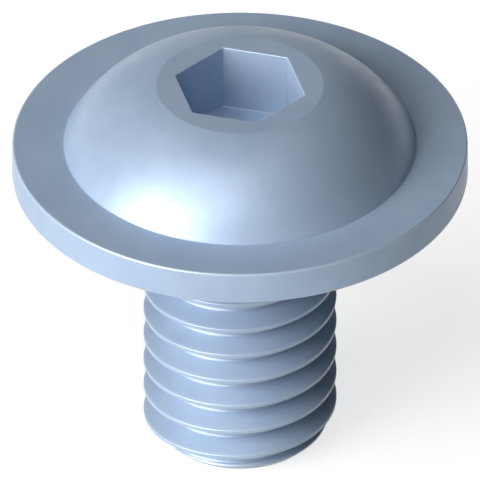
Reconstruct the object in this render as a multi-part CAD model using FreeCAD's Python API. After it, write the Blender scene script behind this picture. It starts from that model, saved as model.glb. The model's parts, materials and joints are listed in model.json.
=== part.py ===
# Mushroom head screw with a collar and a hexagon socket, cold formed as one piece.
# It stands on its tip with the head up, and lengths are in millimetres.
# The origin is the centre of the bearing face, the ring under the collar that
# presses on the clamped part, and +Z runs along the axis towards the head.
import FreeCAD, Part
import math
import os

# Shank, plain at the thread's outer diameter
thread_diameter = 5.0
length_under_head = 8.0
tip_chamfer = 0.5
neck_fillet = 0.2

# Collar
collar_diameter = 11.8
collar_thickness = 0.9
collar_edge_radius = 0.05

# Dome, whose arc stands out from its chord by the bulge, and its flat crown
head_height = 2.75
dome_base_diameter = 9.14
crown_diameter = 4.33
dome_bulge = 0.345

# Hexagon socket in the crown
socket_across_flats = 3.0
socket_depth = 1.85
socket_sides = 6
socket_first_corner_deg = 90.0

# Fixed directions
centre_line = FreeCAD.Vector(0, 0, 0)
towards_head = FreeCAD.Vector(0, 0, 1)
whole_turn_deg = 360.0


def at(radius, height):
    """A point of the half section, which lies in the XZ plane."""
    return FreeCAD.Vector(radius, 0, height)


def straight(*points):
    """Straight edges from each point to the next."""
    return [Part.makeLine(start, end) for start, end in zip(points, points[1:])]


def rounded(start, centre, end):
    """A round edge from start to end, about the centre."""
    radius = start.distanceToPoint(centre)
    towards_middle = ((start + end) * 0.5 - centre).normalize()
    middle = centre + towards_middle * radius
    return [Part.Arc(start, middle, end).toShape()]


def bulged(start, end, bulge):
    """An arc from start up to end, whose middle lies outside their chord by the bulge."""
    chord = end - start
    outward = FreeCAD.Vector(chord.z, 0, -chord.x).normalize()
    middle = (start + end) * 0.5 + outward * bulge
    return [Part.Arc(start, middle, end).toShape()]


def shank_outline():
    """From the centre of the tip, over the chamfer and up the side to the fillet under the head."""
    radius = thread_diameter / 2
    tip = -length_under_head
    fillet_foot = at(radius, -neck_fillet)
    edges = straight(
        at(0, tip),
        at(radius - tip_chamfer, tip),
        at(radius, tip + tip_chamfer),
        fillet_foot,
    )
    fillet_centre = at(radius + neck_fillet, -neck_fillet)
    edges += rounded(fillet_foot, fillet_centre, at(radius + neck_fillet, 0))
    return edges


def collar_outline():
    """The bearing face, the upright rim between its two broken edges, and the ring outside the dome."""
    radius = collar_diameter / 2
    inset = radius - collar_edge_radius
    lower = collar_edge_radius
    upper = collar_thickness - collar_edge_radius
    edges = straight(at(thread_diameter / 2 + neck_fillet, 0), at(inset, 0))
    edges += rounded(at(inset, 0), at(inset, lower), at(radius, lower))
    edges += straight(at(radius, lower), at(radius, upper))
    edges += rounded(at(radius, upper), at(inset, upper), at(inset, collar_thickness))
    edges += straight(at(inset, collar_thickness), at(dome_base_diameter / 2, collar_thickness))
    return edges


def dome_outline():
    """The dome's arc from the collar to the flat crown, and the crown to its centre."""
    base = at(dome_base_diameter / 2, collar_thickness)
    crown_edge = at(crown_diameter / 2, head_height)
    return bulged(base, crown_edge, dome_bulge) + straight(crown_edge, at(0, head_height))


def turned_body():
    """The whole screw without its socket, as its half section turned about the axis."""
    axis = straight(at(0, head_height), at(0, -length_under_head))
    outline = shank_outline() + collar_outline() + dome_outline() + axis
    half_section = Part.Face(Part.Wire(outline))
    return half_section.revolve(centre_line, towards_head, whole_turn_deg)


def socket_space():
    """The hexagonal prism that the key fills, from the socket's flat floor up to the crown."""
    corner_radius = socket_across_flats / 2 / math.cos(math.pi / socket_sides)
    floor = head_height - socket_depth
    corners = []
    for number in range(socket_sides + 1):
        turn = math.radians(socket_first_corner_deg + whole_turn_deg * number / socket_sides)
        corners.append(
            FreeCAD.Vector(corner_radius * math.cos(turn), corner_radius * math.sin(turn), floor)
        )
    hexagon = Part.Face(Part.makePolygon(corners))
    return hexagon.extrude(towards_head * socket_depth)


def screw():
    """The finished screw, one solid."""
    return turned_body().cut(socket_space())


os.makedirs("parts", exist_ok=True)
screw().exportStep("parts/mushroom_head_screw.step")
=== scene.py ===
import cmath
import json
import math

import bmesh
import bpy
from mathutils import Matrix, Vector


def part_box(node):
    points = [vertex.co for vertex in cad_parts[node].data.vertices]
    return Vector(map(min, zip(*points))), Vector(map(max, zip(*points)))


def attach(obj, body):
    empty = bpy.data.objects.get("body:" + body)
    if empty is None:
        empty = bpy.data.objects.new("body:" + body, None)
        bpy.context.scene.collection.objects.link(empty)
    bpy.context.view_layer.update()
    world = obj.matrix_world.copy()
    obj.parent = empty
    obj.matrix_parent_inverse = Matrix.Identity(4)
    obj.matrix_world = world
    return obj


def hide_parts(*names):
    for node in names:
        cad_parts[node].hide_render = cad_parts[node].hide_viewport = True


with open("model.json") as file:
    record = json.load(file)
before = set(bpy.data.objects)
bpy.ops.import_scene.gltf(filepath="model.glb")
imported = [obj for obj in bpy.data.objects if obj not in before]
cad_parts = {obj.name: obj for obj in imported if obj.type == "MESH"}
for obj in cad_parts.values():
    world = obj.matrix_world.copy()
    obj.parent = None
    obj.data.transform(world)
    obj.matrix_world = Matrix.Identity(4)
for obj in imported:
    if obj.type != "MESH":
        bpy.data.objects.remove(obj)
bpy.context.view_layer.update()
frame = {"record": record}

# The screw stands on its tip, and its frame's origin is the centre of the bearing face.
# Lengths are in metres, so a size in millimetres is a number times MM.
MM = 0.001
NODE = "mushroom_head_screw"

# Sizes that the frame gives
screw_low, screw_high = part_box(NODE)
tip_z = screw_low[2]
crown_z = screw_high[2]
collar_radius = screw_high[0]
shank_mount = next(m for m in frame["record"]["mounts"] if m["name"] == "threaded_shank")
shank_radius = shank_mount["dims"]["r_mm"] * MM

# Head
collar_thickness = 0.9 * MM
dome_base_radius = 4.57 * MM
dome_bulge = 0.345 * MM
crown_radius = 2.165 * MM
crown_blend = 0.2 * MM
dome_root_radius = 0.05 * MM
collar_edge_radius = 0.05 * MM
neck_fillet = 0.2 * MM

# Hexagon socket, a corner of which points along +Y
socket_sides = 6
socket_apothem = 1.5 * MM
socket_depth = 1.85 * MM
socket_corner_radius = 0.06 * MM
socket_mouth_radius = 0.02 * MM
socket_floor_radius = 0.03 * MM

# Right-hand M5 x 0.8 thread with a rounded root, and the chamfered tip
pitch = 0.8 * MM
crest_width = pitch / 8
crest_edge_radius = 0.025 * MM
root_radius = pitch * math.sqrt(3) / 12
flank_angle = math.radians(60)
plain_neck = 0.55 * MM
run_out = 1.1 * MM
tip_chamfer = 0.5 * MM

# Fineness of the mesh
columns = 180
arc_steps = 4
dome_steps = 40
root_steps = 8
flank_steps = 3
chamfer_fineness = 2
side_stations = (0.35, 0.7, 0.9)

# Rings beside rounded edges, which keep the faces next to them flat, and the shortest run that has them
support = 0.02 * MM
mouth_band = 0.06 * MM
edge_band = 0.1 * MM
long_run = 0.15 * MM

# Tolerances: keys that count as one place, and the least part of a row's gap beside a ring
same_key = 1e-9
least_gap_part = 0.3

# The photograph: an isometric view, drawn without perspective
frame_pixels = 480
pixels_per_mm = 38.62
view_azimuth = math.radians(45)
view_elevation = math.atan(1 / math.sqrt(2))
view_centre_z = -2.165 * MM
camera_distance = 0.2
nearest_seen = 0.001
farthest_seen = 5

# Floor
floor_reach = 1.0
floor_shade = 0.36
floor_glow = 0.75
floor_bounce = 0.12

# Light from all round
ambient_level = 0.04

# Finish: how metallic it is, its two tints, the colour of polished edges, and the darker colour painted into
# hollows as shade
metallic = 0.3
tint_a = (0.385, 0.50, 0.665, 1)
tint_b = (0.425, 0.54, 0.70, 1)
polished_tint = (0.50, 0.61, 0.75, 1)
# The darker colour that is painted into hollows as shade
painted_shade_tint = (0.37, 0.47, 0.62, 1)
tint_patches_per_mm = 0.7
tint_contrast = (0.35, 0.65)

# Finish: the bend of the skin, in radians, at which a polished edge or the painted shade of a hollow begins
# to show and shows fully
bend_begins = 0.08
bend_full = 0.22

# Finish: roughness and relief
smoothest = 0.38
roughest = 0.47
edge_polish = 0.05
gloss_patches_per_mm = 2.2
gloss_contrast = (0.3, 0.7)
grain_per_mm = 16
grain_height = 0.0015 * MM
grain_strength = 0.35
rolling_lines_per_mm = 34
rolling_height = 0.002 * MM
rolling_strength = 0.5
rolling_wander = 0.06
wander_per_mm = 0.6
rolling_begins = -0.3
rolling_full = -0.6


class Skin:
    """The points and faces of one closed mesh."""

    def __init__(self):
        self.points = []
        self.faces = []

    def point(self, x, y, z):
        self.points.append((x, y, z))
        return len(self.points) - 1

    def around(self, turn, radius, z):
        """A point at that part of a whole turn, radius and height."""
        angle = 2 * math.pi * turn
        return self.point(radius * math.cos(angle), radius * math.sin(angle), z)

    def stitch(self, first, second):
        """Faces between two rows of (key, point): quads where keys agree, and triangles elsewhere."""
        a = b = 0
        while a + 1 < len(first) or b + 1 < len(second):
            key_a = first[a + 1][0] if a + 1 < len(first) else math.inf
            key_b = second[b + 1][0] if b + 1 < len(second) else math.inf
            together = math.isclose(key_a, key_b, abs_tol=same_key)
            step_a = a + 1 < len(first) and (together or key_a < key_b)
            step_b = b + 1 < len(second) and (together or not step_a)
            face = [first[a][1]]
            if step_a:
                a += 1
                face.append(first[a][1])
            face.append(second[b][1])
            if step_b:
                face.insert(-1, second[b + 1][1])
                b += 1
            self.faces.append(face)

    def fan(self, ring, z):
        """Closes a flat ring with a point at its centre."""
        centre = self.point(0, 0, z)
        for (_, start), (_, end) in zip(ring, ring[1:]):
            self.faces.append([start, end, centre])

    def mesh(self, name):
        made = bpy.data.meshes.new(name)
        made.from_pydata(self.points, [], self.faces)
        return made


def closed(ring):
    """A ring of (turn, point) with its first point repeated after a whole turn."""
    return ring + [(1 + ring[0][0], ring[0][1])]


def round_corner(before, corner, after, radius):
    """A rounded corner of a path, as points. A point of a path is the complex number radius + height i."""
    back = (before - corner) / abs(before - corner)
    ahead = (after - corner) / abs(after - corner)
    half_opening = abs(cmath.phase(ahead / back)) / 2
    centre = corner + (back + ahead) / abs(back + ahead) * radius / math.sin(half_opening)
    start = corner + back * radius / math.tan(half_opening) - centre
    end = corner + ahead * radius / math.tan(half_opening) - centre
    turn = cmath.phase(end / start)
    return [centre + start * cmath.exp(1j * turn * step / arc_steps) for step in range(arc_steps + 1)]


def smooth_path(corners):
    """The path through corners, each a (point, rounding), with points added near the ends of long runs."""
    path = [corners[0][0]]
    for (before, _), (corner, rounding), (after, _) in zip(corners, corners[1:], corners[2:]):
        path += round_corner(before, corner, after, rounding) if rounding else [corner]
    path.append(corners[-1][0])
    held = [path[0]]
    for start, end in zip(path, path[1:]):
        run = abs(end - start)
        if run > long_run:
            along = (end - start) / run * support
            held += [start + along, end - along]
        held.append(end)
    return held


def dome_points():
    """Points down the dome's arc, from the crown's edge to the collar, both left out."""
    top = complex(crown_radius, crown_z)
    base = complex(dome_base_radius, collar_thickness)
    chord = base - top
    outward = chord / abs(chord) * 1j
    arc_radius = (abs(chord) ** 2 / 4 + dome_bulge**2) / (2 * dome_bulge)
    centre = (top + base) / 2 + outward * (dome_bulge - arc_radius)
    turn = cmath.phase((base - centre) / (top - centre))
    return [
        centre + (top - centre) * cmath.exp(1j * turn * step / dome_steps)
        for step in range(1, dome_steps)
    ]


def head_path():
    """From the crown over the dome, the collar and its bearing face to the plain neck."""
    corners = [
        (complex(crown_radius - edge_band, crown_z), 0),
        (complex(crown_radius, crown_z), crown_blend),
    ]
    corners += [(point, 0) for point in dome_points()]
    corners += [
        (complex(dome_base_radius, collar_thickness), dome_root_radius),
        (complex(collar_radius, collar_thickness), collar_edge_radius),
        (complex(collar_radius, 0), collar_edge_radius),
        (complex(shank_radius, 0), neck_fillet),
        (complex(shank_radius, -plain_neck), 0),
    ]
    return smooth_path(corners)


def turned(skin, path):
    """Rings round the axis along a path, joined to each other. Gives the first ring and the last."""
    rings = []
    for point in path:
        ring = [(c / columns, skin.around(c / columns, point.real, point.imag)) for c in range(columns)]
        rings.append(closed(ring))
    for upper, lower in zip(rings, rings[1:]):
        skin.stitch(upper, lower)
    return rings[0], rings[-1]


def hexagon_ring(skin, apothem, z):
    """A ring round a hexagon with rounded corners, from the middle of the side that faces +X."""
    half_angle = math.pi / socket_sides
    half_side = apothem * math.tan(half_angle)
    to_corner = [complex(apothem, half_side * part) for part in (0,) + side_stations]
    centre = (apothem - socket_corner_radius) / math.cos(half_angle) * cmath.exp(1j * half_angle)
    turns = [2 * half_angle * step / arc_steps for step in range(arc_steps + 1)]
    corner = [centre + socket_corner_radius * cmath.exp(1j * turn) for turn in turns]
    next_facing = cmath.exp(2j * half_angle)
    onward = [complex(apothem, -half_side * part) * next_facing for part in reversed(side_stations)]
    ring = []
    for side in range(socket_sides):
        facing = cmath.exp(2j * half_angle * side)
        for point in to_corner + corner + onward:
            placed = point * facing
            turn = cmath.phase(placed) / (2 * math.pi) % 1
            ring.append((turn, skin.point(placed.real, placed.imag, z)))
    return closed(ring)


def socket(skin, crown_ring):
    """The socket's mouth, walls and flat floor, joined to the crown."""
    floor_z = crown_z - socket_depth
    section = smooth_path([
        (complex(socket_apothem + mouth_band, crown_z), 0),
        (complex(socket_apothem, crown_z), socket_mouth_radius),
        (complex(socket_apothem, floor_z), socket_floor_radius),
        (complex(socket_apothem / 2, floor_z), 0),
    ])
    rings = [hexagon_ring(skin, point.real, point.imag) for point in section]
    skin.stitch(crown_ring, rings[0])
    for upper, lower in zip(rings, rings[1:]):
        skin.stitch(upper, lower)
    skin.fan(rings[-1], floor_z)


def root_depth():
    """How far the thread's root lies below its crest."""
    sharp_depth = (pitch / 2 - crest_width / 2) * math.tan(flank_angle)
    return sharp_depth - root_radius


def thread_profile():
    """One pitch of the thread from the middle of a crest to the next, as (part of the pitch, depth)."""
    crest_corner = crest_width / 2
    tangent = crest_edge_radius * math.tan(flank_angle / 2)
    root_centre = root_depth() - root_radius
    half = [(0, 0)]
    for step in range(arc_steps + 1):
        turn = flank_angle * step / arc_steps
        along = crest_corner - tangent + crest_edge_radius * math.sin(turn)
        half.append((along, crest_edge_radius * (1 - math.cos(turn))))
    flank_start = half[-1]
    flank_end = (
        pitch / 2 - root_radius * math.sin(flank_angle),
        root_centre + root_radius * math.cos(flank_angle),
    )
    for step in range(1, flank_steps):
        part = step / flank_steps
        half.append(tuple(a + (b - a) * part for a, b in zip(flank_start, flank_end)))
    for step in range(root_steps // 2 + 1):
        turn = flank_angle * (1 - 2 * step / root_steps)
        half.append((pitch / 2 - root_radius * math.sin(turn), root_centre + root_radius * math.cos(turn)))
    mirrored = [(pitch - along, depth) for along, depth in reversed(half[1:-1])]
    return half + mirrored


def depth_between(profile, along):
    """The depth at a place along the pitch, on the straight lines between the profile's points."""
    points = profile + [(pitch, 0)]
    for (start, start_depth), (end, end_depth) in zip(points, points[1:]):
        if start <= along <= end:
            return start_depth + (end_depth - start_depth) * (along - start) / (end - start)
    return 0


def shank_surface(profile, turn, z):
    """The shank's radius at a place: the thread, closed by a cone under the head and cut by the chamfer."""
    along = (z - pitch * turn) % pitch
    threaded = shank_radius - depth_between(profile, along)
    run_out_part = min(max((-plain_neck - z) / run_out, 0), 1)
    closed_by = shank_radius - root_depth() * run_out_part
    cut_by = shank_radius - (tip_z + tip_chamfer - z)
    return min(max(threaded, closed_by), cut_by)


def thread_band(skin, profile, top_ring, top_z, bottom_z, fineness):
    """The shank between two heights, in rows that climb with the thread. Gives its lowest ring."""
    places = []
    for (start, _), (end, _) in zip(profile, profile[1:] + [(pitch, 0)]):
        places += [start + (end - start) * step / fineness for step in range(fineness)]
    first_turn = math.floor(bottom_z / pitch) - 1
    last_turn = math.ceil(top_z / pitch)
    least_gap = least_gap_part * min(end - start for start, end in zip(places, places[1:]))
    bands = []
    bottom_ring = []
    for column in range(columns):
        turn = column / columns
        lowest = skin.around(turn, shank_surface(profile, turn, bottom_z), bottom_z)
        bottom_ring.append((turn, lowest))
        band = [(-math.inf, lowest)]
        for whole in range(first_turn, last_turn + 1):
            for number, along in enumerate(places):
                z = pitch * (whole + turn) + along
                if bottom_z + least_gap < z < top_z - least_gap:
                    radius = shank_surface(profile, turn, z)
                    band.append((whole * len(places) + number, skin.around(turn, radius, z)))
        band.append((math.inf, top_ring[column][1]))
        bands.append(band)
    after_a_turn = [(key - len(places), point) for key, point in bands[0]]
    for left, right in zip(bands, bands[1:] + [after_a_turn]):
        skin.stitch(left, right)
    return closed(bottom_ring)


def tip(skin, chamfer_ring):
    """The flat end inside the chamfer."""
    flat_radius = shank_radius - tip_chamfer
    rings = [chamfer_ring]
    for inset in (support, edge_band):
        ring = [
            (c / columns, skin.around(c / columns, flat_radius - inset, tip_z)) for c in range(columns)
        ]
        rings.append(closed(ring))
    for outer, inner in zip(rings, rings[1:]):
        skin.stitch(outer, inner)
    skin.fan(rings[-1], tip_z)


def screw():
    """The whole screw as one closed skin."""
    skin = Skin()
    crown_ring, neck_ring = turned(skin, head_path())
    socket(skin, crown_ring)
    profile = thread_profile()
    chamfer_top = tip_z + tip_chamfer
    middle_ring = thread_band(skin, profile, neck_ring, -plain_neck, chamfer_top, fineness=1)
    tip_ring = thread_band(skin, profile, middle_ring, chamfer_top, tip_z, fineness=chamfer_fineness)
    tip(skin, tip_ring)
    mesh = skin.mesh("threaded_screw")
    piece = bpy.data.objects.new("threaded_screw", mesh)
    bpy.context.scene.collection.objects.link(piece)
    orient(mesh)
    mesh.shade_smooth()
    return piece


def orient(mesh):
    """Turns every face outwards, and stores how sharply the skin bends at each point, outwards above 0."""
    work = bmesh.new()
    work.from_mesh(mesh)
    bmesh.ops.recalc_face_normals(work, faces=work.faces)
    bends = []
    for point in work.verts:
        angles = [edge.calc_face_angle_signed(0) for edge in point.link_edges]
        bends.append(max(angles, key=abs))
    work.to_mesh(mesh)
    work.free()
    stored = mesh.attributes.new("bend", "FLOAT", "POINT")
    stored.data.foreach_set("value", bends)


def add_node(tree, kind, inputs=(), **settings):
    """A shader node with its settings, and its inputs by name or number as values or links."""
    node = tree.nodes.new(kind)
    for name, value in settings.items():
        setattr(node, name, value)
    for name, value in dict(inputs).items():
        if isinstance(value, bpy.types.NodeSocket):
            tree.links.new(value, node.inputs[name])
        else:
            node.inputs[name].default_value = value
    return node


def noise(tree, place, scale, detail):
    """Values from 0 to 1 that vary over the surface, scale times per millimetre."""
    inputs = {"Vector": place, "Scale": scale, "Detail": detail}
    return add_node(tree, "ShaderNodeTexNoise", inputs).outputs[0]


def remap(tree, value, low, high, to_low, to_high):
    """The value moved from one range to another, and held within it."""
    inputs = {"Value": value, "From Min": low, "From Max": high, "To Min": to_low, "To Max": to_high}
    return add_node(tree, "ShaderNodeMapRange", inputs).outputs["Result"]


def mix_colours(tree, factor, first, second):
    """The first colour where the factor is 0, the second where it is 1, and a blend between."""
    # A Mix node has its colours in inputs 6 and 7, and gives the mixed colour as output 2.
    node = add_node(tree, "ShaderNodeMix", {0: factor, 7: second}, data_type="RGBA")
    if isinstance(first, bpy.types.NodeSocket):
        tree.links.new(first, node.inputs[6])
    else:
        node.inputs[6].default_value = first
    return node.outputs[2]


def rolling_marks(tree, place):
    """Fine lines along the thread's flanks, where the rolling dies have drawn the metal."""
    across = {0: place, 1: (1, 1, 0)}
    across = add_node(tree, "ShaderNodeVectorMath", across, operation="MULTIPLY").outputs[0]
    radius = add_node(tree, "ShaderNodeVectorMath", {0: across}, operation="LENGTH").outputs["Value"]
    wandering = {0: noise(tree, place, wander_per_mm, detail=2), 1: rolling_wander, 2: radius}
    line = add_node(tree, "ShaderNodeMath", wandering, operation="MULTIPLY_ADD").outputs[0]
    lines = {"W": line, "Scale": rolling_lines_per_mm, "Detail": 3}
    lines = add_node(tree, "ShaderNodeTexNoise", lines, noise_dimensions="1D").outputs[0]
    height = add_node(tree, "ShaderNodeSeparateXYZ", {0: place}).outputs["Z"]
    below_head = remap(tree, height, rolling_begins, rolling_full, 0, 1)
    return add_node(tree, "ShaderNodeMath", {0: lines, 1: below_head}, operation="MULTIPLY").outputs[0]


def steel():
    """Satin steel with a bluish zinc finish, burnished along the edges, rolled smooth in the thread, and
    with shade painted into its hollows.
    """
    material = bpy.data.materials.new("bluish_zinc_finish")
    material.use_nodes = True
    tree = material.node_tree
    shader = tree.nodes["Principled BSDF"]
    shader.inputs["Metallic"].default_value = metallic

    # Places on the surface in millimetres
    place = add_node(tree, "ShaderNodeTexCoord").outputs["Object"]
    scaled = {0: place, "Scale": 1 / MM}
    place = add_node(tree, "ShaderNodeVectorMath", scaled, operation="SCALE").outputs[0]

    # Edges that handling has polished, and hollows darkened with painted shade
    bend = add_node(tree, "ShaderNodeAttribute", attribute_name="bend").outputs["Fac"]
    edge = remap(tree, bend, bend_begins, bend_full, 0, 1)
    # Painted shade: how far a point lies in an inward bend of the skin
    painted_shade = remap(tree, bend, -bend_begins, -bend_full, 0, 1)

    # The finish's colour drifts a little, is lighter where it is polished, and is darker in hollows, which
    # is painted shade
    drift = remap(tree, noise(tree, place, tint_patches_per_mm, detail=3), *tint_contrast, 0, 1)
    colour = mix_colours(tree, drift, tint_a, tint_b)
    colour = mix_colours(tree, edge, colour, polished_tint)
    # Painted shade: the hollows are darkened in the base colour
    colour = mix_colours(tree, painted_shade, colour, painted_shade_tint)
    tree.links.new(colour, shader.inputs["Base Color"])

    # Satin, with patches a little glossier or duller
    patches = noise(tree, place, gloss_patches_per_mm, detail=4)
    patches = remap(tree, patches, *gloss_contrast, smoothest, roughest)
    polish = {0: edge, 1: -edge_polish, 2: patches}
    polish = add_node(tree, "ShaderNodeMath", polish, operation="MULTIPLY_ADD").outputs[0]
    tree.links.new(polish, shader.inputs["Roughness"])

    # Fine grain all over, and marks that follow the thread round
    grain = noise(tree, place, grain_per_mm, detail=2)
    marks = rolling_marks(tree, place)
    fine = {"Height": grain, "Strength": grain_strength, "Distance": grain_height}
    bumped = add_node(tree, "ShaderNodeBump", fine).outputs["Normal"]
    ridged = {"Height": marks, "Strength": rolling_strength, "Distance": rolling_height, "Normal": bumped}
    bumped = add_node(tree, "ShaderNodeBump", ridged).outputs["Normal"]
    tree.links.new(bumped, shader.inputs["Normal"])
    return material


def floor():
    """A wide pale floor under the tip, white to the eye and in reflections, with the screw's soft shadow."""
    signs = [(-1, -1), (1, -1), (1, 1), (-1, 1)]
    corners = [(x * floor_reach, y * floor_reach, tip_z) for x, y in signs]
    mesh = bpy.data.meshes.new("floor")
    mesh.from_pydata(corners, [], [(0, 1, 2, 3)])
    plane = bpy.data.objects.new("floor", mesh)
    bpy.context.scene.collection.objects.link(plane)
    material = bpy.data.materials.new("floor")
    material.use_nodes = True
    tree = material.node_tree
    tree.nodes.clear()
    rays = add_node(tree, "ShaderNodeLightPath").outputs
    seen = rays["Is Camera Ray"]
    for kind in ("Is Glossy Ray", "Is Transmission Ray"):
        seen = add_node(tree, "ShaderNodeMath", {0: seen, 1: rays[kind]}, operation="MAXIMUM").outputs[0]
    shade = {"Color": (floor_shade, floor_shade, floor_shade, 1)}
    pale = add_node(tree, "ShaderNodeBsdfDiffuse", shade).outputs[0]
    glow = {"Color": (1, 1, 1, 1), "Strength": floor_glow}
    glow = add_node(tree, "ShaderNodeEmission", glow).outputs[0]
    white = add_node(tree, "ShaderNodeAddShader", {0: pale, 1: glow}).outputs[0]
    shade = {"Color": (floor_bounce, floor_bounce, floor_bounce, 1)}
    quiet = add_node(tree, "ShaderNodeBsdfDiffuse", shade).outputs[0]
    shown = add_node(tree, "ShaderNodeMixShader", {0: seen, 1: quiet, 2: white}).outputs[0]
    add_node(tree, "ShaderNodeOutputMaterial", {"Surface": shown})
    mesh.materials.append(material)


def direction(azimuth, elevation):
    """The unit vector from the object towards that azimuth and elevation, in radians."""
    flat = math.cos(elevation)
    return Vector((math.sin(azimuth) * flat, -math.cos(azimuth) * flat, math.sin(elevation)))


def soft_light(name, azimuth, elevation, level, width):
    """A distant soft light, in degrees. At level 1 a white surface that faces it renders white."""
    lamp = bpy.data.lights.new(name, "SUN")
    lamp.energy = math.pi * level
    lamp.angle = math.radians(width)
    holder = bpy.data.objects.new(name, lamp)
    towards = direction(math.radians(azimuth), math.radians(elevation))
    holder.rotation_euler = towards.to_track_quat("Z", "Y").to_euler()
    bpy.context.scene.collection.objects.link(holder)


def lights():
    """Two wide lights from the left of the camera, with a little from behind and all round."""
    soft_light("key", azimuth=-8, elevation=18, level=1.25, width=48)
    soft_light("upper", azimuth=8, elevation=52, level=0.42, width=50)
    soft_light("fill", azimuth=222, elevation=5, level=0.06, width=40)
    world = bpy.data.worlds.new("studio")
    world.use_nodes = True
    background = world.node_tree.nodes["Background"]
    background.inputs["Color"].default_value = (1, 1, 1, 1)
    background.inputs["Strength"].default_value = ambient_level
    bpy.context.scene.world = world


def camera():
    """The photograph's isometric view."""
    lens = bpy.data.cameras.new("camera")
    lens.type = "ORTHO"
    lens.ortho_scale = frame_pixels / pixels_per_mm * MM
    lens.clip_start = nearest_seen
    lens.clip_end = farthest_seen
    holder = bpy.data.objects.new("camera", lens)
    back = direction(view_azimuth, view_elevation)
    holder.location = Vector((0, 0, view_centre_z)) + back * camera_distance
    holder.rotation_euler = back.to_track_quat("Z", "Y").to_euler()
    bpy.context.scene.collection.objects.link(holder)
    bpy.context.scene.camera = holder


camera()
lights()
floor()
piece = screw()
piece.data.materials.append(steel())
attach(piece, "root")
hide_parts(NODE)
bpy.context.scene.view_settings.view_transform = "Standard"
